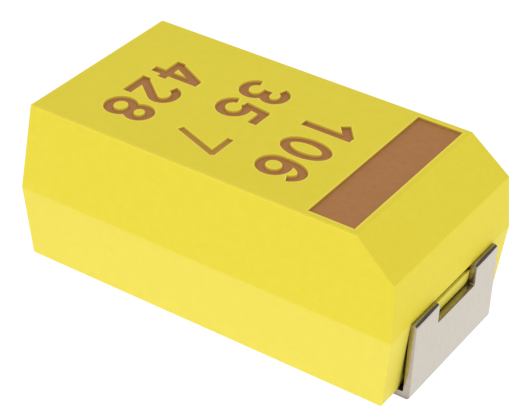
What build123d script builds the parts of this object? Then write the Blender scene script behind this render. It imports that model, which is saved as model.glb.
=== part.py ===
"""Moulded tantalum chip capacitor for surface mounting, case size 6032-28, in millimetres.

A sintered tantalum pellet with its coatings sits on the cathode lead and is welded by its wire
to the anode lead. Epoxy is moulded round all of it, and the two flat leads are folded down the
case's ends and under it to make the solder feet.

Frame: the origin is the centre of the solder plane, +X points to the anode end, which carries
the polarity bevel and stripe, and +Z points up.
"""

import os
from math import radians, tan

from build123d import *

# Moulded case, two drafted halves that meet at the parting plane
CASE_LENGTH = 5.82  # along X, at the parting plane
CASE_WIDTH = 3.2  # along Y, at the parting plane
CASE_HEIGHT = 2.4
PARTING_HEIGHT = 1.105  # case bottom to parting plane
DRAFT_ANGLE = 4.9  # degrees, on all four sides of both halves
CASE_EDGE_RADIUS = 0.02

# Polarity bevel across the top of the anode end, and the sunk stripe behind it
BEVEL_LENGTH = 0.66  # from the case's end at the parting plane to the bevel's top edge
BEVEL_DEPTH = 0.49  # from the case top down to the bevel's lower edge
STRIPE_SETBACK = 0.09  # from the bevel's top edge to the stripe
STRIPE_WIDTH = 0.67  # along X
STRIPE_SIDE_MARGIN = 0.10  # case top left standing beside each end of the stripe
STRIPE_DEPTH = 0.04

# Raised pad under the case that takes the glue dot before soldering
GLUE_PAD_CLEARANCE = 0.30  # along X, from the pad to each foot
GLUE_PAD_WIDTH = 2.4
GLUE_PAD_HEIGHT = 0.05

# Both leads: strip folded down the case's end and under it
LEAD_THICKNESS = 0.10
TERMINAL_WIDTH = 2.2
LEG_BITE = 0.01  # how far the folded leg presses into the ridge of the case's end
FOOT_LENGTH = 1.3
FOOT_SINK = 0.02  # how far the feet lie in pockets in the case bottom
POCKET_CLEARANCE = 0.05  # pocket left open round each foot
FOLD_OUTER_RADIUS = 0.055
FOLD_INNER_RADIUS = 0.02
SHOULDER_LENGTH = 0.40  # how far the strip's full width reaches into the case
BLADE_CORNER_RADIUS = 0.10  # free corners inside the case

# Window in the anode terminal. Where it runs on into the case, it leaves a slit in the case's end.
WINDOW_WIDTH = 1.0
WINDOW_SILL = 0.88  # height of the window's lower edge above the solder plane
WINDOW_CORNER_RADIUS = 0.02
WINDOW_REACH = 0.08  # how far the window runs on inside the case

# Anode lead inside the case: the tab that the wire is welded to
WELD_TAB_LENGTH = 0.75
WELD_TAB_WIDTH = 1.0

# Cathode lead inside the case: a slope down to the platform under the pellet
SLOPE_SETBACK = 0.47  # from the case's end to the top of the slope
PLATFORM_LENGTH = 2.5
PLATFORM_WIDTH = 1.8
SLOPE_ANGLE = 65.0  # degrees from horizontal
SLOPE_CLEARANCE = 0.10  # from the coated pellet's back to the foot of the slope
ADHESIVE_THICKNESS = 0.05
ADHESIVE_MARGIN = 0.15  # platform left bare round the adhesive

# Pellet, wire and washer. The pellet fills the length between the slope and the washer.
PELLET_WIDTH = 2.2
PELLET_HEIGHT = 1.4
PELLET_EDGE_RADIUS = 0.10
WIRE_DIAMETER = 0.30
WIRE_EMBEDDED_LENGTH = 2.0
WELD_LENGTH = 0.50  # wire lying on the weld tab
WELD_SINK = 0.03  # wire flattened by the weld
WASHER_DIAMETER = 0.90
WASHER_THICKNESS = 0.15
WASHER_TAB_CLEARANCE = 0.25

# Coatings on the pellet, from the inside out
MANGANESE_DIOXIDE_THICKNESS = 0.04
GRAPHITE_THICKNESS = 0.02
SILVER_THICKNESS = 0.04
GRAPHITE_FRONT_MARGIN = 0.15  # pellet left bare of graphite behind its wire face
SILVER_FRONT_MARGIN = 0.25

# Heights, from the solder plane up. The leads leave the case just under its parting plane.
case_bottom_z = LEAD_THICKNESS - FOOT_SINK
case_top_z = case_bottom_z + CASE_HEIGHT
parting_z = case_bottom_z + PARTING_HEIGHT
upper_height = CASE_HEIGHT - PARTING_HEIGHT
lead_z = parting_z - LEAD_THICKNESS / 2  # middle of the leads' flat stretch
wire_z = parting_z + WIRE_DIAMETER / 2 - WELD_SINK

# Places along X, worked inwards from the anode end
case_end_x = CASE_LENGTH / 2
terminal_end_x = case_end_x - LEG_BITE + LEAD_THICKNESS
foot_end_x = terminal_end_x - FOOT_LENGTH
glue_pad_length = 2 * (foot_end_x - GLUE_PAD_CLEARANCE)
bevel_top_x = case_end_x - BEVEL_LENGTH
stripe_x = bevel_top_x - STRIPE_SETBACK - STRIPE_WIDTH / 2
tab_end_x = case_end_x - SHOULDER_LENGTH - WELD_TAB_LENGTH
washer_x = tab_end_x - WASHER_TAB_CLEARANCE - WASHER_THICKNESS / 2
pellet_front_x = washer_x - WASHER_THICKNESS / 2 - MANGANESE_DIOXIDE_THICKNESS

# The platform under the coated pellet
graphite_growth = MANGANESE_DIOXIDE_THICKNESS + GRAPHITE_THICKNESS
coating_growth = graphite_growth + SILVER_THICKNESS
platform_top_z = wire_z - PELLET_HEIGHT / 2 - coating_growth - ADHESIVE_THICKNESS
platform_z = platform_top_z - LEAD_THICKNESS / 2
slope_start_x = -case_end_x + SLOPE_SETBACK
platform_start_x = slope_start_x + (lead_z - platform_z) / tan(radians(SLOPE_ANGLE))
platform_end_x = platform_start_x + PLATFORM_LENGTH

# The pellet, from the slope to the washer
coated_back_x = platform_start_x + SLOPE_CLEARANCE
pellet_back_x = coated_back_x + coating_growth
pellet_length = pellet_front_x - pellet_back_x


def folded_strip(path, width):
    """Strip of lead metal, width across Y, folded along path, the (x, z) points of its middle.

    Each side of the section is the path shifted by half the thickness and mitred at the folds.
    The side that a fold opens takes the outer radius there and the other side the inner one.
    """
    points = [Vector(x, z) for x, z in path]
    runs = [(end - start).normalized() for start, end in zip(points, points[1:])]
    normals = [Vector(-run.Y, run.X) for run in runs]
    mitres = [(a + b) / (1 + a.dot(b)) for a, b in zip(normals, normals[1:])]
    offsets = [normals[0], *mitres, normals[-1]]
    turns = [a.cross(b).Z for a, b in zip(runs, runs[1:])]

    def side(sign):
        edge = [point + offset * (sign * LEAD_THICKNESS / 2) for point, offset in zip(points, offsets)]
        opened = [turn * sign < 0 for turn in turns]
        return edge, [0, *(FOLD_OUTER_RADIUS if out else FOLD_INNER_RADIUS for out in opened), 0]

    left, left_radii = side(1)
    right, right_radii = side(-1)
    outline = FilletPolyline(*left, *right[::-1], radius=left_radii + right_radii[::-1], close=True)
    return extrude(Plane.XZ * make_face(outline), width / 2, both=True)


def terminal():
    """What both leads share, at the +X end: shoulder in the case, leg down its end, and foot."""
    leg_x = terminal_end_x - LEAD_THICKNESS / 2
    foot_z = LEAD_THICKNESS / 2
    path = [
        (case_end_x - SHOULDER_LENGTH, lead_z),
        (leg_x, lead_z),
        (leg_x, foot_z),
        (foot_end_x, foot_z),
    ]
    return folded_strip(path, TERMINAL_WIDTH)


def round_free_corners(blade, end):
    """Round the two upright edges at a blade's end along X, 0 for its low end and -1 for its high end."""
    return fillet(blade.edges().filter_by(Axis.Z).group_by(Axis.X)[end], BLADE_CORNER_RADIUS)


def window_cut():
    """Block that cuts the window: open at the top fold, running on a little into the case."""
    opening = Rectangle(WINDOW_WIDTH, parting_z - WINDOW_SILL, align=(Align.CENTER, Align.MIN))
    opening = fillet(opening.vertices().group_by(Axis.Y)[0], WINDOW_CORNER_RADIUS)
    reach = Plane.YZ.offset(case_end_x - WINDOW_REACH) * Pos(0, WINDOW_SILL) * opening
    return extrude(reach, WINDOW_REACH + LEAD_THICKNESS)


def anode_lead():
    """Terminal with its window, and the tab that carries the wire's weld."""
    tab = Box(
        WELD_TAB_LENGTH, WELD_TAB_WIDTH, LEAD_THICKNESS, align=(Align.MIN, Align.CENTER, Align.CENTER)
    )
    tab = round_free_corners(Pos(tab_end_x, 0, lead_z) * tab, 0)
    return terminal() - window_cut() + tab


def cathode_lead():
    """Terminal at the other end, and the blade that steps down to the platform."""
    path = [
        (-case_end_x, lead_z),
        (slope_start_x, lead_z),
        (platform_start_x, platform_z),
        (platform_end_x, platform_z),
    ]
    blade = round_free_corners(folded_strip(path, PLATFORM_WIDTH), -1)
    return mirror(terminal(), about=Plane.YZ) + blade


def pellet_block(growth):
    """The pellet's block with its long edges rounded, grown by growth on every side."""
    block = Box(pellet_length + 2 * growth, PELLET_WIDTH + 2 * growth, PELLET_HEIGHT + 2 * growth)
    block = fillet(block.edges().filter_by(Axis.X), PELLET_EDGE_RADIUS + growth)
    return Pos((pellet_front_x + pellet_back_x) / 2, 0, wire_z) * block


def rod(diameter, start_x, end_x):
    """Round bar on the wire's axis."""
    bar = Cylinder(diameter / 2, end_x - start_x, align=(Align.CENTER, Align.CENTER, Align.MIN))
    return Pos(start_x, 0, wire_z) * Rot(0, 90, 0) * bar


def anode_wire(lead):
    """Wire from inside the pellet to the weld tab, flattened where it is welded down."""
    start_x = pellet_front_x - WIRE_EMBEDDED_LENGTH
    return rod(WIRE_DIAMETER, start_x, tab_end_x + WELD_LENGTH) - lead


def wire_washer(wire):
    """Ring that keeps the manganese dioxide off the wire."""
    half = WASHER_THICKNESS / 2
    return rod(WASHER_DIAMETER, washer_x - half, washer_x + half) - wire


def coating(inner_growth, outer_growth, front_margin):
    """Cup over the pellet's back and sides that stops front_margin short of its wire face."""
    cup = pellet_block(outer_growth) - pellet_block(inner_growth)
    return split(cup, Plane.YZ.offset(pellet_front_x - front_margin), keep=Keep.BOTTOM)


def silver_adhesive():
    """Bed between the platform and the flat of the silvered pellet."""
    start_x = coated_back_x + PELLET_EDGE_RADIUS + coating_growth
    length = platform_end_x - ADHESIVE_MARGIN - start_x
    width = PLATFORM_WIDTH - 2 * ADHESIVE_MARGIN
    bed = Box(length, width, ADHESIVE_THICKNESS, align=(Align.MIN, Align.CENTER, Align.MIN))
    return Pos(start_x, 0, platform_top_z) * bed


def case_half(height):
    """Drafted half of the case, from the parting plane to height above or below it."""
    return Pos(0, 0, parting_z) * extrude(Rectangle(CASE_LENGTH, CASE_WIDTH), height, taper=DRAFT_ANGLE)


def round_case_edges(half):
    """Round every edge of a case half but the ridge where the halves meet."""
    ridge = half.edges().filter_by_position(Axis.Z, parting_z, parting_z)
    return fillet(half.edges() - ridge, CASE_EDGE_RADIUS)


def bevel_plane():
    """Plane of the polarity bevel, facing out of the case."""
    lower_z = case_top_z - BEVEL_DEPTH
    lower_x = case_end_x - (lower_z - parting_z) * tan(radians(DRAFT_ANGLE))
    top = Vector(bevel_top_x, 0, case_top_z)
    fall = Vector(lower_x, 0, lower_z) - top
    return Plane(origin=top, x_dir=(0, 1, 0), z_dir=fall.cross(Vector(0, 1, 0)))


def stripe_cut():
    """Block that sinks the polarity stripe into the case top."""
    top_width = CASE_WIDTH - 2 * upper_height * tan(radians(DRAFT_ANGLE))
    return Pos(stripe_x, 0, case_top_z) * Box(
        STRIPE_WIDTH, top_width - 2 * STRIPE_SIDE_MARGIN, 2 * STRIPE_DEPTH
    )


def window_slit_cut():
    """Slit that the window leaves in the case's end, as high as the strip is thick."""
    return Pos(case_end_x, 0, lead_z) * Box(2 * WINDOW_REACH, WINDOW_WIDTH, LEAD_THICKNESS)


def foot_pocket_cut():
    """Shallow pocket in the case bottom that a foot lies in, at the +X end."""
    length = case_end_x - foot_end_x + POCKET_CLEARANCE
    width = TERMINAL_WIDTH + 2 * POCKET_CLEARANCE
    pocket = Box(length, width, 2 * FOOT_SINK, align=(Align.MIN, Align.CENTER, Align.CENTER))
    return Pos(foot_end_x - POCKET_CLEARANCE, 0, case_bottom_z) * pocket


def epoxy_case(contents):
    """Both halves with bevel, stripe, pockets and glue pad, moulded closely round the contents."""
    upper = split(case_half(upper_height), bevel_plane(), keep=Keep.BOTTOM)
    body = round_case_edges(upper) + round_case_edges(case_half(-PARTING_HEIGHT))
    body -= stripe_cut()
    body -= window_slit_cut()
    pocket = foot_pocket_cut()
    body -= [pocket, mirror(pocket, about=Plane.YZ)]
    pad = Box(glue_pad_length, GLUE_PAD_WIDTH, 2 * GLUE_PAD_HEIGHT)
    body += Pos(0, 0, case_bottom_z) * pad
    for piece in contents:
        body -= piece
    return body


def build():
    """Every piece by the name of its file."""
    pieces = {"anode_lead": anode_lead(), "cathode_lead": cathode_lead()}
    wire = anode_wire(pieces["anode_lead"])
    pieces["anode_wire"] = wire
    pieces["wire_washer"] = wire_washer(wire)
    pieces["tantalum_pellet"] = pellet_block(0) - wire
    manganese = pellet_block(MANGANESE_DIOXIDE_THICKNESS) - pellet_block(0) - wire
    pieces["manganese_dioxide_layer"] = manganese
    pieces["graphite_layer"] = coating(MANGANESE_DIOXIDE_THICKNESS, graphite_growth, GRAPHITE_FRONT_MARGIN)
    pieces["silver_layer"] = coating(graphite_growth, coating_growth, SILVER_FRONT_MARGIN)
    pieces["silver_adhesive"] = silver_adhesive()
    pieces["epoxy_case"] = epoxy_case(list(pieces.values()))
    return pieces


os.makedirs("parts", exist_ok=True)
for name, shape in build().items():
    export_step(shape, f"parts/{name}.step")
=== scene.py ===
# %% [markdown]
# # A moulded tantalum chip capacitor
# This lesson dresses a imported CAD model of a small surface-mount capacitor, 6 mm long, for a picture.
# The CAD model gives every size and place: a yellow epoxy case moulded in two drafted halves,
# two folded metal leads, and the pellet, wire and coatings inside. Blender adds what CAD leaves out:
# marks burnt into the top face, softened metal edges, and the finish of every surface.
# All lengths in Blender are metres here, so a millimetre is written as 1 * MM.

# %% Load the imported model
from math import cos, dist, pi, radians, sin

import bmesh
import bpy
from mathutils import Matrix, Vector


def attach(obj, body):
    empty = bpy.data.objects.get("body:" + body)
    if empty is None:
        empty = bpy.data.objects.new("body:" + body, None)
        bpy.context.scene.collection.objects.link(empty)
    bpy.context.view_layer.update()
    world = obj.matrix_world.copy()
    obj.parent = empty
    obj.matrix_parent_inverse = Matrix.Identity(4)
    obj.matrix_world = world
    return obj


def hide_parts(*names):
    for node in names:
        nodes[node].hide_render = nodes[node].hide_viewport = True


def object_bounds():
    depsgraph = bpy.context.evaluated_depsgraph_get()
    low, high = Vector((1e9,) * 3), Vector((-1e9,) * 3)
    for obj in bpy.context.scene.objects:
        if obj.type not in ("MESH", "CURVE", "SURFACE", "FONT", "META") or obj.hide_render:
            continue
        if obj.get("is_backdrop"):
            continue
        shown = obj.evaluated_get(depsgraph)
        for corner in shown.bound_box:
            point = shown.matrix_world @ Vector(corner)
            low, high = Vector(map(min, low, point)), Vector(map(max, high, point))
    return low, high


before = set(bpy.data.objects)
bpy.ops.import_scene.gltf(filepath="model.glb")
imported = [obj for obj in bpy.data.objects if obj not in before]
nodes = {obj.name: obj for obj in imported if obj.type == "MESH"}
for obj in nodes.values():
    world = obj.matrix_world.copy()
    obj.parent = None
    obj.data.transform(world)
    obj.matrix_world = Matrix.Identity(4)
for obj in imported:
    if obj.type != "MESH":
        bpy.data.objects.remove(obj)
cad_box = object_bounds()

MM = 0.001
print("loaded", len(nodes), "CAD nodes:", ", ".join(sorted(nodes)))

# %% [markdown]
# ## The camera
# The object is looked at from its front right corner and a little above, from four body lengths away.
# A camera can be aimed with a Track To constraint, but three angles and a distance say the same thing
# in numbers that can be checked, so the camera's own axes are worked out and put in its matrix.
# The roll is a turn about the line of sight: the picture is tipped by nearly three degrees.

# %% Aim the camera
AZIMUTH, ELEVATION, ROLL = radians(31.92), radians(34.10), radians(2.80)
DISTANCE = 24.42 * MM
AIM = Vector((0.0414, -0.2172, 1.272)) * MM
LENS, SENSOR = 126.83, 36.0
NEAREST_SEEN, FARTHEST_SEEN = 1 * MM, 10

back = Vector((sin(AZIMUTH) * cos(ELEVATION), -cos(AZIMUTH) * cos(ELEVATION), sin(ELEVATION)))
level_right = Vector((0, 0, 1)).cross(back).normalized()
level_up = back.cross(level_right)
right = level_right * cos(ROLL) + level_up * sin(ROLL)
up = level_up * cos(ROLL) - level_right * sin(ROLL)
axes = Matrix((right, up, back)).transposed().to_4x4()

camera = bpy.data.objects.new("camera", bpy.data.cameras.new("camera"))
camera.data.lens = LENS
camera.data.sensor_width = SENSOR
camera.data.clip_start = NEAREST_SEEN
camera.data.clip_end = FARTHEST_SEEN
camera.matrix_world = Matrix.Translation(AIM + back * DISTANCE) @ axes
bpy.context.scene.collection.objects.link(camera)
bpy.context.scene.camera = camera
print("camera at", [round(v / MM, 2) for v in camera.matrix_world.translation], "mm")

# %% [markdown]
# ## Small helpers for node trees
# Every finish and every rule of making is a tree of nodes, which could be built with a few calls for each
# node. Three short functions keep the lesson readable instead: one adds a node and fills its sockets, one
# joins an output to an input, and one adds a sum.


# %% Node helpers
def add_node(tree, kind, settings=None, **sockets):
    """A new node of a kind, with its settings and the values of its named input sockets."""
    node = tree.nodes.new(kind)
    for name, value in (settings or {}).items():
        setattr(node, name, value)
    for name, value in sockets.items():
        node.inputs[name.replace("_", " ")].default_value = value
    return node


def join(tree, source, target, out=0, into=0):
    """Joins an output of one node to an input of another, each by name or number."""
    tree.links.new(source.outputs[out], target.inputs[into])


def calc(tree, operation, first, second):
    """The output of a Math node whose two inputs are each a number or a socket."""
    node = tree.nodes.new("ShaderNodeMath")
    node.operation = operation
    for slot, value in enumerate((first, second)):
        if isinstance(value, (int, float)):
            node.inputs[slot].default_value = value
        else:
            tree.links.new(value, node.inputs[slot])
    return node.outputs[0]


# %% [markdown]
# ## Sky, floor and lamp
# A small part is usually shown on plain white. The sky and the floor are white to the camera and to
# reflections through the Light Path node, and the light that falls on the object stays at a plain level,
# so that a colour shows about as it is written. Polished metal needs something dark to mirror, or its
# folds vanish, so reflections also see one dark patch of sky behind the object on the right, as a black
# card. Its soft edge is written as two cosines of the angle from its middle.

# %% A white world with one dark card for the metal
SKY = 0.66
WHITE = (1, 1, 1, 1)
CARD_TOWARDS = Vector((0.50, 0.74, 0.45)).normalized()
CARD_EDGE, CARD_FULL, CARD_DEPTH = 0.72, 0.88, 0.87

world = bpy.data.worlds.new("studio")
bpy.context.scene.world = world
world.use_nodes = True
sky = world.node_tree
sky.nodes.clear()
direction = add_node(sky, "ShaderNodeTexCoord")
towards_card = add_node(sky, "ShaderNodeVectorMath", {"operation": "DOT_PRODUCT"})
towards_card.inputs[1].default_value = CARD_TOWARDS
join(sky, direction, towards_card, "Generated", 0)
card = add_node(sky, "ShaderNodeMapRange", {"interpolation_type": "SMOOTHSTEP"},
                From_Min=CARD_EDGE, From_Max=CARD_FULL, To_Min=1.0, To_Max=1.0 - CARD_DEPTH)
join(sky, towards_card, card, "Value", "Value")

rays = add_node(sky, "ShaderNodeLightPath").outputs
reflected = calc(sky, "MAXIMUM", rays["Is Glossy Ray"], rays["Is Transmission Ray"])
mirrored = calc(sky, "MULTIPLY", reflected, card.outputs["Result"])
plain = calc(sky, "MULTIPLY", rays["Is Diffuse Ray"], SKY)
seen = calc(sky, "MAXIMUM", calc(sky, "MAXIMUM", mirrored, plain), rays["Is Camera Ray"])
background = add_node(sky, "ShaderNodeBackground", Color=WHITE)
sky.links.new(seen, background.inputs["Strength"])
join(sky, background, add_node(sky, "ShaderNodeOutputWorld"), "Background", "Surface")
world.cycles.sampling_method = "NONE"
bpy.context.scene.view_settings.view_transform = "Standard"
print("sky at", SKY, "of white, with a dark card towards", [round(v, 2) for v in CARD_TOWARDS])

# %% [markdown]
# The floor works like the glowing tables that small parts are often shown on. More than half of what it
# sends up is light of its own, so the sides of the case are lit from below nearly as brightly as the top
# is from above. The rest comes off plain white paper, which takes the object's shadow. Brighter lamps
# would also turn the floor white, but they would bleach the object, so the floor is lifted to white only
# where the camera or a reflection looks at it.

# %% A softly glowing floor
FLOOR_REACH = 0.6
PAPER, TABLE_GLOW = 0.6, 0.72
WHITE_LIFT, WHITE_GLOW = 0.85, 1.05

corners = [(x * FLOOR_REACH, y * FLOOR_REACH, 0) for x, y in ((-1, -1), (1, -1), (1, 1), (-1, 1))]
floor_mesh = bpy.data.meshes.new("floor")
floor_mesh.from_pydata(corners, [], [(0, 1, 2, 3)])
floor = bpy.data.objects.new("floor", floor_mesh)
bpy.context.scene.collection.objects.link(floor)

table = bpy.data.materials.new("glowing_table")
table.use_nodes = True
tree = table.node_tree
tree.nodes.clear()
rays = add_node(tree, "ShaderNodeLightPath").outputs
reflected = calc(tree, "MAXIMUM", rays["Is Glossy Ray"], rays["Is Transmission Ray"])
seen = calc(tree, "MAXIMUM", rays["Is Camera Ray"], reflected)
lifted = calc(tree, "MULTIPLY", seen, WHITE_LIFT)
paper = add_node(tree, "ShaderNodeBsdfDiffuse", Color=(PAPER, PAPER, PAPER, 1))
glow = add_node(tree, "ShaderNodeEmission", Color=WHITE, Strength=TABLE_GLOW)
lit_paper = add_node(tree, "ShaderNodeAddShader")
join(tree, paper, lit_paper, 0, 0)
join(tree, glow, lit_paper, 0, 1)
white = add_node(tree, "ShaderNodeEmission", Color=WHITE, Strength=WHITE_GLOW)
mix = add_node(tree, "ShaderNodeMixShader")
tree.links.new(lifted, mix.inputs["Fac"])
join(tree, lit_paper, mix, 0, 1)
join(tree, white, mix, 0, 2)
join(tree, mix, add_node(tree, "ShaderNodeOutputMaterial"), 0, "Surface")
table.cycles.emission_sampling = "NONE"
floor_mesh.materials.append(table)
floor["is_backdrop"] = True
print("floor", 2 * FLOOR_REACH, "m across")

# %% [markdown]
# One square softbox overhead and a little in front makes the top face the brightest and casts the short
# shadow. A lamp could simply be given watts, but its energy is worked out instead, so that white paper
# facing it takes on LAMP_LIGHT of full white from it at any distance. The metal doesn't mirror the lamp,
# because the white sky is what it is meant to show.

# %% One soft lamp overhead, a little in front
LAMP_TOWARDS = Vector((0.25, -0.45, 0.87)).normalized()
LAMP_DISTANCE, LAMP_SIDE, LAMP_LIGHT = 0.12, 0.06, 0.22

lamp_data = bpy.data.lights.new("softbox", "AREA")
lamp_data.size = LAMP_SIDE
lamp_data.energy = LAMP_LIGHT * pi**2 * LAMP_DISTANCE**2
lamp = bpy.data.objects.new("softbox", lamp_data)
turn = LAMP_TOWARDS.to_track_quat("Z", "Y").to_matrix().to_4x4()
lamp.matrix_world = Matrix.Translation(LAMP_TOWARDS * LAMP_DISTANCE) @ turn
lamp.visible_camera = False
lamp.visible_glossy = False
bpy.context.scene.collection.objects.link(lamp)
print("softbox", round(lamp_data.energy * 1000, 1), "mW")

# %% [markdown]
# ## Finishes
# Each finish starts from one Principled shader. Images of real surfaces could be wrapped on, but noise
# needs no image and has no seams. A plain function gives the part that all finishes share: a fine mottle
# between two close colours, a roughness that wanders a little, and a shallow bump, each from noise on
# Object coordinates, so that the grain has a real size and stays put on the piece. Values that are the
# same all over are set on the shader's own sockets.

# %% The shared finish
DARK_STOP, LIGHT_STOP = 0.35, 0.65
SPECKLES_PER_GRAIN = 4
BUMP_STRENGTH = 0.3


def make_finish(name, dark, light, roughness, grain, relief, metallic=0.0, specular=0.5, stretch=(1, 1, 1)):
    """A procedural material: two close colours, a roughness range, a grain and a relief in metres."""
    material = bpy.data.materials.new(name)
    material.use_nodes = True
    tree = material.node_tree
    shader = tree.nodes["Principled BSDF"]
    shader.inputs["Metallic"].default_value = metallic
    shader.inputs["Specular IOR Level"].default_value = specular
    place = add_node(tree, "ShaderNodeTexCoord")
    mapping = add_node(tree, "ShaderNodeMapping", Scale=stretch)
    join(tree, place, mapping, "Object", "Vector")
    mottle = add_node(tree, "ShaderNodeTexNoise", Scale=1 / grain, Detail=4.0, Roughness=0.55)
    join(tree, mapping, mottle, "Vector", "Vector")
    colours = add_node(tree, "ShaderNodeValToRGB")
    dark_end, light_end = colours.color_ramp.elements
    dark_end.position, light_end.position = DARK_STOP, LIGHT_STOP
    dark_end.color, light_end.color = (*dark, 1), (*light, 1)
    join(tree, mottle, colours, 0, "Fac")
    join(tree, colours, shader, "Color", "Base Color")
    sheen = add_node(tree, "ShaderNodeMapRange", To_Min=roughness[0], To_Max=roughness[1])
    join(tree, mottle, sheen, 0, "Value")
    join(tree, sheen, shader, "Result", "Roughness")
    speckle = add_node(tree, "ShaderNodeTexNoise", Scale=SPECKLES_PER_GRAIN / grain, Detail=2.0)
    join(tree, mapping, speckle, "Vector", "Vector")
    bump = add_node(tree, "ShaderNodeBump", Strength=BUMP_STRENGTH, Distance=relief)
    join(tree, speckle, bump, 0, "Height")
    join(tree, bump, shader, "Normal", "Normal")
    return material


# %% [markdown]
# The moulding epoxy is yellow and carries fine glass filler, so its skin is smooth with a satin grain.
# The leads are a rolled strip with a warm, silvery plating, drawn out along the rolling direction. Their
# sheared edges show the bare metal, duller and browner, and darker still as painted shade. The window's
# sill and the shoulder get painted shade, darker again. A mask on one metal could tell the three apart,
# but each lead face is wholly one of them, so three finishes that faces can be given are simpler.

# %% Epoxy and three looks of the metal
epoxy = make_finish(
    "satin_yellow_epoxy", dark=(0.832, 0.698, 0.054), light=(0.849, 0.716, 0.060),
    roughness=(0.40, 0.48), grain=0.12 * MM, relief=0.0008 * MM, specular=0.05)
plating = make_finish(
    "plated_strip", dark=(0.545, 0.490, 0.418), light=(0.572, 0.517, 0.443),
    roughness=(0.10, 0.16), grain=0.16 * MM, relief=0.00012 * MM, metallic=1.0, stretch=(1, 3, 1))
# bare metal of the sheared walls, its darker colour partly painted shade
bare_metal_and_shade = make_finish(
    "bare_sheared_metal", dark=(0.445, 0.390, 0.335), light=(0.500, 0.445, 0.385),
    roughness=(0.22, 0.30), grain=0.10 * MM, relief=0.0002 * MM, metallic=1.0)
# painted shade: the darkest metal, for the window's sill and the shoulder
scraped_metal = make_finish(
    "scraped_metal", dark=(0.380, 0.333, 0.295), light=(0.425, 0.379, 0.335),
    roughness=(0.22, 0.30), grain=0.10 * MM, relief=0.0002 * MM, metallic=1.0)
print("case and leads:", ", ".join(m.name for m in (epoxy, plating, bare_metal_and_shade, scraped_metal)))

# %% [markdown]
# The case's lower half is painted paler than the upper half: a painted sheen that stands in for the white
# floor's light reflected off the lower faces. Two materials would need the case cut in two, so the colour
# changes by a step on the height instead. The frame has no size for the parting plane, where the step
# lies, so the CAD case's own is repeated here.

# %% Two halves, the lower one painted paler as sheen from the floor
PARTING = 1.185 * MM
PARTING_BLUR = 0.006 * MM
PAINTED_FLOOR_SHEEN = (0.035, 0.045, 0.050)


def tint(tree, mode, colour, factor, base):
    """Blends a plain colour over a base colour socket, as strongly as a factor socket says."""
    mix = add_node(tree, "ShaderNodeMix", {"data_type": "RGBA", "blend_type": mode})
    mix.inputs["B"].default_value = (*colour, 1)
    tree.links.new(factor, mix.inputs["Factor"])
    tree.links.new(base, mix.inputs["A"])
    return mix.outputs["Result"]


def read_height(tree):
    """A node whose Z output is the height of a point above the floor."""
    place = add_node(tree, "ShaderNodeTexCoord")
    height = add_node(tree, "ShaderNodeSeparateXYZ")
    join(tree, place, height, "Object", 0)
    return height


tree = epoxy.node_tree
shader = tree.nodes["Principled BSDF"]
skin = shader.inputs["Base Color"].links[0].from_socket
height = read_height(tree)
lower = add_node(tree, "ShaderNodeMapRange", From_Min=PARTING - PARTING_BLUR,
                 From_Max=PARTING + PARTING_BLUR, To_Min=1.0, To_Max=0.0)
join(tree, height, lower, "Z", "Value")
# painted sheen: below the parting plane the case is made paler, standing in for light from the floor
skin = tint(tree, "ADD", PAINTED_FLOOR_SHEEN, lower.outputs["Result"], skin)
print("parting plane at z =", PARTING / MM, "mm")

# %% [markdown]
# The edges of the top face carry a painted highlight: a paler colour where a round edge would catch the
# light, round the marks too. A line could be painted along them, but a Bevel node finds every edge by
# itself: the normal that it gives differs from the surface's own only near an edge, and the dot product
# of the two says by how much. A second step on the height keeps the painted highlight to the top.

# %% Painted highlights on the edges of the top face
TOP = cad_box[1][2]
EDGE_REACH, HIGHLIGHT_DEPTH = 0.06 * MM, 0.05 * MM
HIGHLIGHT_STARTS, HIGHLIGHT_FULL = 0.97, 0.90
PAINTED_EDGE_HIGHLIGHT = (0.17, 0.13, 0.06)
NEAR_SAMPLES = 8

rounded = add_node(tree, "ShaderNodeBevel", {"samples": NEAR_SAMPLES}, Radius=EDGE_REACH)
surface = add_node(tree, "ShaderNodeNewGeometry")
agree = add_node(tree, "ShaderNodeVectorMath", {"operation": "DOT_PRODUCT"})
join(tree, rounded, agree, "Normal", 0)
join(tree, surface, agree, "Normal", 1)
highlighted = add_node(tree, "ShaderNodeMapRange", From_Min=HIGHLIGHT_STARTS, From_Max=HIGHLIGHT_FULL)
join(tree, agree, highlighted, "Value", "Value")
near_top = add_node(tree, "ShaderNodeMapRange", From_Min=TOP - HIGHLIGHT_DEPTH, From_Max=TOP - HIGHLIGHT_DEPTH / 2)
join(tree, height, near_top, "Z", "Value")
highlighted_top = calc(tree, "MULTIPLY", highlighted.outputs["Result"], near_top.outputs["Result"])
# painted highlight: paler colour along the edges of the top face and round the marks
skin = tint(tree, "ADD", PAINTED_EDGE_HIGHLIGHT, highlighted_top, skin)
print("rubbed within", round(EDGE_REACH / MM, 3), "mm of the edges of the top face")

# %% [markdown]
# Crevices get painted shade, beside the leads above all. It could be painted by hand, but an Ambient
# Occlusion node already knows where they are: it reads how much of the sky a point can see at short
# range. On the epoxy only the deepest crevices are painted dark. The leads are painted dark sooner,
# where they enter the case and where they lie against it.

# %% Painted shade in the crevices
CREVICE_REACH = 0.12 * MM
EPOXY_SHADE_PAINT, EPOXY_HIDDEN, EPOXY_OPEN = (0.10, 0.05, 0.00), 0.25, 0.50
METAL_SHADE_PAINT, METAL_HIDDEN, METAL_OPEN = (0.55, 0.52, 0.50), 0.40, 0.85


def add_painted_shade(tree, base, colour, hidden, clear):
    """Painted shade: multiplies a base colour by a colour, fully at one share of sky seen and not at all at
    another.
    """
    open_sky = add_node(tree, "ShaderNodeAmbientOcclusion", {"samples": NEAR_SAMPLES},
                        Distance=CREVICE_REACH)
    painted_shade = add_node(tree, "ShaderNodeMapRange", From_Min=hidden, From_Max=clear, To_Min=1.0, To_Max=0.0)
    join(tree, open_sky, painted_shade, "AO", "Value")
    return tint(tree, "MULTIPLY", colour, painted_shade.outputs["Result"], base)


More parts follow.
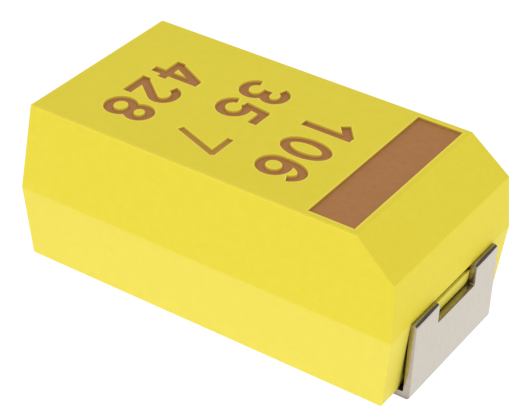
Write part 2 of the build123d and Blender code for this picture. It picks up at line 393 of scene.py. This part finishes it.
# painted shade on the epoxy, darkest where it sees least sky
skin = add_painted_shade(tree, skin, EPOXY_SHADE_PAINT, EPOXY_HIDDEN, EPOXY_OPEN)
tree.links.new(skin, shader.inputs["Base Color"])

# painted shade on the three metal finishes, where the leads meet the case
for finish in (plating, bare_metal_and_shade, scraped_metal):
    metal_shader = finish.node_tree.nodes["Principled BSDF"]
    metal = metal_shader.inputs["Base Color"].links[0].from_socket
    metal = add_painted_shade(finish.node_tree, metal, METAL_SHADE_PAINT, METAL_HIDDEN, METAL_OPEN)
    finish.node_tree.links.new(metal, metal_shader.inputs["Base Color"])
print("grime where something stands within", CREVICE_REACH / MM, "mm")

# %% [markdown]
# The pieces inside are never seen in the finished part, but each has its own finish for a cut-away view:
# dark porous tantalum, a drawn wire, a white fluoropolymer ring, and the black and silver coatings. All
# come from the shared function, so a table of its values is enough.

# %% Finishes inside the case
INNER_FINISHES = {
    "tantalum_pellet": dict(name="sintered_tantalum_finish", dark=(0.055, 0.055, 0.062),
                            light=(0.11, 0.11, 0.12), roughness=(0.6, 0.8),
                            grain=0.03 * MM, relief=0.006 * MM, metallic=0.4),
    "anode_wire": dict(name="tantalum_wire_finish", dark=(0.36, 0.36, 0.38),
                       light=(0.46, 0.46, 0.48), roughness=(0.25, 0.35),
                       grain=0.02 * MM, relief=0.001 * MM, metallic=1.0),
    "wire_washer": dict(name="fluoropolymer_finish", dark=(0.80, 0.80, 0.78),
                        light=(0.88, 0.88, 0.86), roughness=(0.35, 0.5),
                        grain=0.04 * MM, relief=0.001 * MM, metallic=0.0),
    "manganese_dioxide_layer": dict(name="manganese_dioxide_finish", dark=(0.018, 0.016, 0.015),
                                    light=(0.040, 0.036, 0.034), roughness=(0.7, 0.9),
                                    grain=0.03 * MM, relief=0.005 * MM, metallic=0.0),
    "graphite_layer": dict(name="graphite_finish", dark=(0.035, 0.036, 0.040),
                           light=(0.075, 0.077, 0.083), roughness=(0.45, 0.6),
                           grain=0.03 * MM, relief=0.003 * MM, metallic=0.2),
    "silver_layer": dict(name="silver_paint_finish", dark=(0.62, 0.62, 0.60),
                         light=(0.74, 0.74, 0.72), roughness=(0.4, 0.55),
                         grain=0.03 * MM, relief=0.004 * MM, metallic=0.8),
    "silver_adhesive": dict(name="silver_adhesive_finish", dark=(0.50, 0.49, 0.46),
                            light=(0.64, 0.63, 0.60), roughness=(0.45, 0.6),
                            grain=0.02 * MM, relief=0.006 * MM, metallic=0.7),
}
for node_name, values in INNER_FINISHES.items():
    nodes[node_name].data.materials[0] = make_finish(**values)
print("finished", len(INNER_FINISHES), "pieces inside the case")

# %% [markdown]
# ## Burnt marks
# A laser burns the marks into the top face: the resin chars brown on the flat floor of each mark, and the
# steep walls fade from brown at the foot to the resin's own yellow at the rim. One ramp on the height
# does both, so the same finish serves the polarity stripe, which the CAD case already has, and the
# digits cut below.

# %% The burnt finish
SCORCH_DEPTH = 0.038 * MM
RIM_YELLOW = (0.82, 0.69, 0.035)

burnt = make_finish(
    "burnt_mark", dark=(0.432, 0.196, 0.068), light=(0.467, 0.214, 0.080),
    roughness=(0.55, 0.7), grain=0.08 * MM, relief=0.002 * MM, specular=0.1)
tree = burnt.node_tree
shader = tree.nodes["Principled BSDF"]
char = shader.inputs["Base Color"].links[0].from_socket
scorch = add_node(tree, "ShaderNodeMapRange", From_Min=TOP - SCORCH_DEPTH, From_Max=TOP)
join(tree, read_height(tree), scorch, "Z", "Value")
wall = tint(tree, "MIX", RIM_YELLOW, scorch.outputs["Result"], char)
tree.links.new(wall, shader.inputs["Base Color"])
print("marks turn brown over", SCORCH_DEPTH / MM, "mm below z =", round(TOP / MM, 3), "mm")

# %% [markdown]
# ## Digits as strokes of one pen
# The marks are plain numbers, three rows of them, read from the striped end. Text objects would bring a
# font's own outlines; a laser follows strokes instead, so each digit is a few lines and arcs for a pen. A
# digit is one unit high, and its strokes are written on a grid that starts at the left of its cell.
# Strokes overlap where they meet, which keeps every corner full.

# %% The strokes of each digit
ARC_STEP = radians(9)
FEWEST_STEPS = 3


def arc(x, y, rx, ry, start, end):
    """Points along part of an ellipse, with angles in degrees, anticlockwise where end is the larger."""
    first, last = radians(start), radians(end)
    count = max(FEWEST_STEPS, round(abs(last - first) / ARC_STEP))
    angles = [first + (last - first) * step / count for step in range(count + 1)]
    return [(x + rx * cos(angle), y + ry * sin(angle)) for angle in angles]


def ring(x, y, rx, ry):
    """A whole ellipse, which ends where it began."""
    return arc(x, y, rx, ry, 0, 360)


PEN = 0.19
LOW, HIGH = PEN / 2, 1 - PEN / 2
GLYPHS = {
    "0": [ring(0.383, 0.5, 0.2325, 0.405)],
    "1": [[(0.44, 0), (0.44, 1)], [(0.11, 0.675), (0.46, 0.95)]],
    "2": [arc(0.375, 0.70, 0.235, 0.205, 172, -38) + [(0.17, 0.12)], [(0.06, LOW), (0.70, LOW)]],
    "3": [arc(0.372, 0.7175, 0.212, 0.1875, 170, -90), arc(0.378, 0.3125, 0.2375, 0.2175, 90, -172),
          [(0.29, 0.53), (0.40, 0.53)]],
    "4": [[(0.50, 0), (0.50, 1)], [(0.03, 0.30), (0.70, 0.30)], [(0.47, 0.95), (0.125, 0.31)]],
    "5": [[(0.19, HIGH), (0.66, HIGH)], [(0.245, 0.97), (0.175, 0.44)],
          arc(0.372, 0.335, 0.2425, 0.24, 148, -168)],
    "6": [ring(0.383, 0.335, 0.2325, 0.24), arc(0.405, 0.50, 0.2545, 0.405, 35, 190)],
    "7": [[(0.07, HIGH), (0.68, HIGH)], [(0.655, 0.95), (0.29, 0)]],
    "8": [ring(0.383, 0.7175, 0.20, 0.1875), ring(0.383, 0.3125, 0.2325, 0.2175)],
}
print("glyphs:", " ".join(GLYPHS), "- strokes:", sum(len(glyph) for glyph in GLYPHS.values()))

# %% [markdown]
# The rows lie across the case. Writing runs towards -Y and its upright points along +X, to the stripe.
# Each row is its left edge and its baseline in millimetres, its characters, and the weight of its pen.
# Each digit could be an object of its own, but one curve object takes all the strokes as poly splines,
# flat on the top face, so the pen below has to run only once.

# %% Rows of marks
DIGIT_HEIGHT, ADVANCE = 0.75, 0.575
BOLD, LIGHT = 1.0, 0.72
ROWS = [(0.668, 0.337, "106", BOLD), (0.956, -0.872, "35", BOLD), (-0.54, -0.872, "7", LIGHT),
        (0.668, -2.075, "428", BOLD)]
SAME_POINT = 1e-6

strokes = bpy.data.curves.new("mark_strokes", "CURVE")
strokes.dimensions = "3D"
for left, baseline, text, weight in ROWS:
    for place_in_row, character in enumerate(text):
        for stroke in GLYPHS[character]:
            closed = dist(stroke[0], stroke[-1]) < SAME_POINT
            points = stroke[:-1] if closed else stroke
            spline = strokes.splines.new("POLY")
            spline.points.add(len(points) - 1)
            spline.use_cyclic_u = closed
            for point, (across, along) in zip(spline.points, points):
                x = baseline + DIGIT_HEIGHT * along
                y = left - ADVANCE * place_in_row - DIGIT_HEIGHT * across
                point.co = (x * MM, y * MM, TOP, 1)
                point.radius = weight
print("strokes on the top face:", len(strokes.splines))

# %% [markdown]
# ## A pen in Geometry Nodes
# The pen follows every stroke by the same rule, so it is a node tree: a four-sided profile, narrow at the
# floor of the mark and wider at the rim, is swept along each stroke by Curve to Mesh. Set Curve Normal
# keeps the profile upright, with its own Y pointing down into the case. The walls go on at the same
# slope to a little above the top face, so that the cutter leaves nothing standing there. The radius of
# each stroke's points scales the profile, so one tree draws bold strokes and light, shallower ones.


# %% The pen tree
def make_pen_tree():
    """Curves in, solid strokes out, with named inputs for the pen's sizes and finish."""
    tree = bpy.data.node_groups.new("pen", "GeometryNodeTree")
    tree.interface.new_socket("Geometry", in_out="INPUT", socket_type="NodeSocketGeometry")
    for name in ("Pen Width", "Depth", "Flare", "Rise"):
        tree.interface.new_socket(name, in_out="INPUT", socket_type="NodeSocketFloat")
    tree.interface.new_socket("Finish", in_out="INPUT", socket_type="NodeSocketMaterial")
    tree.interface.new_socket("Geometry", in_out="OUTPUT", socket_type="NodeSocketGeometry")
    source = add_node(tree, "NodeGroupInput")
    sizes = source.outputs
    half_width = calc(tree, "MULTIPLY", sizes["Pen Width"], 0.5)
    foot = calc(tree, "SUBTRACT", half_width, sizes["Flare"])
    wall_height = calc(tree, "ADD", sizes["Depth"], sizes["Rise"])
    growth = calc(tree, "DIVIDE", wall_height, sizes["Depth"])
    rim = calc(tree, "ADD", foot, calc(tree, "MULTIPLY", sizes["Flare"], growth))
    above = calc(tree, "MULTIPLY", sizes["Rise"], -1.0)
    profile = add_node(tree, "GeometryNodeCurvePrimitiveQuadrilateral", {"mode": "POINTS"})
    profile_corners = (
        (foot, -1, sizes["Depth"]), (foot, 1, sizes["Depth"]), (rim, 1, above), (rim, -1, above))
    for number, (reach, side, down) in enumerate(profile_corners):
        corner = add_node(tree, "ShaderNodeCombineXYZ")
        tree.links.new(calc(tree, "MULTIPLY", reach, side), corner.inputs["X"])
        tree.links.new(down, corner.inputs["Y"])
        join(tree, corner, profile, 0, f"Point {number + 1}")
    upright = add_node(tree, "GeometryNodeSetCurveNormal", {"mode": "Z_UP"})
    join(tree, source, upright, "Geometry", "Curve")
    sweep = add_node(tree, "GeometryNodeCurveToMesh", Fill_Caps=True)
    join(tree, add_node(tree, "GeometryNodeInputRadius"), sweep, 0, "Scale")
    join(tree, upright, sweep, "Curve", "Curve")
    join(tree, profile, sweep, "Curve", "Profile Curve")
    real = add_node(tree, "GeometryNodeRealizeInstances")
    join(tree, sweep, real, "Mesh", "Geometry")
    finish = add_node(tree, "GeometryNodeSetMaterial")
    join(tree, real, finish, "Geometry", "Geometry")
    join(tree, source, finish, "Finish", "Material")
    join(tree, finish, add_node(tree, "NodeGroupOutput"), "Geometry", "Geometry")
    return tree


pen_tree = make_pen_tree()
print("the pen tree has", len(pen_tree.nodes), "nodes")

# %% [markdown]
# A modifier runs the tree on the strokes. Its inputs are set by the sockets' identifiers before the
# object is first evaluated. The result becomes a plain mesh, because the strokes only serve to cut, and
# its faces are turned to point outwards, because a sweep along a curve may come out inside out.


# %% Run the pen
def run_pen(name, **sizes):
    """Sweeps the pen along the strokes and returns the result as a plain mesh object."""
    carrier = bpy.data.objects.new(name + "_strokes", strokes)
    bpy.context.scene.collection.objects.link(carrier)
    modifier = carrier.modifiers.new("pen", "NODES")
    modifier.node_group = pen_tree
    for item in pen_tree.interface.items_tree:
        argument = item.name.replace(" ", "_").lower()
        if item.in_out == "INPUT" and argument in sizes:
            modifier[item.identifier] = sizes[argument]
    evaluated = carrier.evaluated_get(bpy.context.evaluated_depsgraph_get())
    mesh = bpy.data.meshes.new_from_object(evaluated)
    bpy.data.objects.remove(carrier)
    work = bmesh.new()
    work.from_mesh(mesh)
    bmesh.ops.recalc_face_normals(work, faces=work.faces)
    work.to_mesh(mesh)
    work.free()
    cutter = bpy.data.objects.new(name, mesh)
    bpy.context.scene.collection.objects.link(cutter)
    return cutter


MARK_DEPTH, MARK_FLARE = 0.045 * MM, 0.018 * MM
CUTTER_RISE = 0.01 * MM
digit_cutter = run_pen("digit_cutter", pen_width=PEN * DIGIT_HEIGHT * MM, depth=MARK_DEPTH,
                       flare=MARK_FLARE, rise=CUTTER_RISE, finish=burnt)
heights = [round((v.co.z - TOP) / MM, 4) for v in digit_cutter.data.vertices]
print(digit_cutter.name, len(digit_cutter.data.polygons), "faces, from", min(heights), "to",
      max(heights), "mm from the top face")

# %% [markdown]
# ## The case
# The CAD case is already right: two drafted halves, the polarity bevel and the stripe. Its mesh arrives as
# loose triangles, so a copy is merged and its flat faces joined before anything is cut from it. Remeshing
# would even the faces out, but it would round the edges too.

# %% Copy and merge a CAD piece
WELD_DISTANCE = 0.0001 * MM
FLAT_WITHIN = radians(0.2)


def count_open_edges(work):
    """How many edges of a mesh don't join exactly two faces."""
    return sum(not edge.is_manifold for edge in work.edges)


def merged_copy(node_name, name):
    """A copy of a CAD node's mesh as one closed skin with whole flat faces, in an object at the origin."""
    mesh = nodes[node_name].data.copy()
    mesh.name = name
    work = bmesh.new()
    work.from_mesh(mesh)
    bmesh.ops.remove_doubles(work, verts=work.verts, dist=WELD_DISTANCE)
    bmesh.ops.dissolve_limit(work, angle_limit=FLAT_WITHIN, verts=work.verts, edges=work.edges)
    open_edges = count_open_edges(work)
    work.to_mesh(mesh)
    work.free()
    if "custom_normal" in mesh.attributes:
        mesh.attributes.remove(mesh.attributes["custom_normal"])
    piece = bpy.data.objects.new(name, mesh)
    bpy.context.scene.collection.objects.link(piece)
    print(name, "as merged:", len(mesh.polygons), "faces,", open_edges, "open edges")
    return piece


# %% [markdown]
# A finished piece has no live modifiers, and its normals are settled last. Smooth shading alone would
# smear light over the large flat faces, and flat shading would show every facet of the rounds. So edges
# sharper than a given angle stay sharp, and weighted normals let the large faces keep their direction
# beside the small rounds.


# %% Shade and measure a finished piece
def settle(piece, crease):
    """Runs a piece's modifiers into a plain mesh and shades it smooth, with sharp edges above an angle."""
    evaluated = piece.evaluated_get(bpy.context.evaluated_depsgraph_get())
    mesh = bpy.data.meshes.new_from_object(evaluated)
    piece.modifiers.clear()
    piece.data = mesh
    mesh.shade_smooth()
    mesh.set_sharp_from_angle(angle=crease)


def weigh_normals(piece):
    """Lets large flat faces keep their own direction, so that only small rounds between them look soft."""
    piece.modifiers.new("weigh", "WEIGHTED_NORMAL").keep_sharp = True
    graph = bpy.context.evaluated_depsgraph_get()
    evaluated = piece.evaluated_get(graph)
    mesh = bpy.data.meshes.new_from_object(evaluated, preserve_all_data_layers=True, depsgraph=graph)
    piece.modifiers.clear()
    piece.data = mesh


def print_skin(piece):
    """Prints how many faces and open edges a finished piece has, and the volume that it encloses."""
    work = bmesh.new()
    work.from_mesh(piece.data)
    volume = work.calc_volume() / MM**3
    print(piece.name, len(work.faces), "faces,", count_open_edges(work), "open edges,",
          round(volume, 3), "cubic mm")
    work.free()


# %% [markdown]
# The stripe's faces take the burnt finish. They are picked by place: below the top face, not below the
# stripe's floor, and in a box that holds the stripe but no outer edge of the case. The digits could be
# pressed in as bump alone, but an exact boolean cuts real walls that catch the light, and its Transfer
# mode brings the cutter's burnt finish along to the faces that it makes.

# %% Cut the marks
CASE_CREASE = radians(30)
STRIPE_DEPTH = 0.04 * MM
STRIPE_BACK, STRIPE_FRONT, STRIPE_SIDE = 1.48 * MM, 2.17 * MM, 1.40 * MM
STRIPE_SLACK = 0.002 * MM
PLAIN, BURNT = range(2)

case = merged_copy("epoxy_case", "marked_case")
case.data.materials.clear()
case.data.materials.append(epoxy)
case.data.materials.append(burnt)
for face in case.data.polygons:
    middle = face.center
    in_box = STRIPE_BACK < middle.x < STRIPE_FRONT and abs(middle.y) < STRIPE_SIDE
    sunk = STRIPE_SLACK < TOP - middle.z < STRIPE_DEPTH + STRIPE_SLACK
    face.material_index = BURNT if in_box and sunk else PLAIN

cut = case.modifiers.new("marks", "BOOLEAN")
cut.operation = "DIFFERENCE"
cut.solver = "EXACT"
cut.object = digit_cutter
cut.use_self = True
cut.material_mode = "TRANSFER"
settle(case, CASE_CREASE)
bpy.data.objects.remove(digit_cutter)
weigh_normals(case)
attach(case, "root")
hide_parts("epoxy_case")
print_skin(case)

# %% [markdown]
# ## The leads
# Each lead is punched from strip, plated and folded round the end of the case. The CAD solids have its
# true outline with square edges. Punching and plating leave a small round on every edge, which is what
# catches the light. A Bevel node in the finish could fake it, but a narrow Bevel modifier on a copy of the
# mesh makes it real.
#
# Bare metal shows on the sheared walls, which face along Y; their darker colour is partly painted shade.
# The window's sill and the shoulder get painted shade. The sill's height is the CAD lead's own, repeated
# here because the frame doesn't state it. The stepped part inside the case keeps the same finish.

# %% Soften the leads
EDGE_ROUND, ROUND_STEPS = 0.005 * MM, 2
SHARP_EDGE, LEAD_CREASE = radians(50), radians(35)
WINDOW_SILL, WINDOW_CORNER = 0.88 * MM, 0.02 * MM
UPRIGHT, TURNED, LEVEL_SLACK = 0.9, 0.1, 0.005 * MM
PLATED, BARE_AND_SHADE, PAINTED_SHADE = range(3)

for node_name in ("anode_lead", "cathode_lead"):
    lead = merged_copy(node_name, node_name + "_plated")
    lead.data.materials.clear()
    for finish in (plating, bare_metal_and_shade, scraped_metal):
        lead.data.materials.append(finish)
    for face in lead.data.polygons:
        on_sill = face.normal.z > TURNED and abs(face.center.z - WINDOW_SILL) < WINDOW_CORNER
        on_shoulder = face.normal.z > UPRIGHT and abs(face.center.z - PARTING) < LEVEL_SLACK
        sheared = abs(face.normal.y) > TURNED
        # painted shade on the sill and shoulder faces, and partly on the sheared walls
        face.material_index = PAINTED_SHADE if on_sill or on_shoulder else BARE_AND_SHADE if sheared else PLATED
    bevel = lead.modifiers.new("round", "BEVEL")
    bevel.width = EDGE_ROUND
    bevel.segments = ROUND_STEPS
    bevel.limit_method = "ANGLE"
    bevel.angle_limit = SHARP_EDGE
    settle(lead, LEAD_CREASE)
    weigh_normals(lead)
    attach(lead, "root")
    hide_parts(node_name)
    print_skin(lead)

# %% [markdown]
# ## Compare the sizes
# Both boxes are plain numbers, and the difference at each corner, the CAD model's less the dressed
# model's, is printed in millimetres. The dressed model has to stay inside the CAD model's box.

# %% Compare the boxes
bpy.context.view_layer.update()
dressed_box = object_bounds()
corner_pairs = zip(cad_box, dressed_box)
differences = [round((a - b) / MM, 5) for cad, dressed in corner_pairs for a, b in zip(cad, dressed)]
print("boxes differ by", differences, "mm")
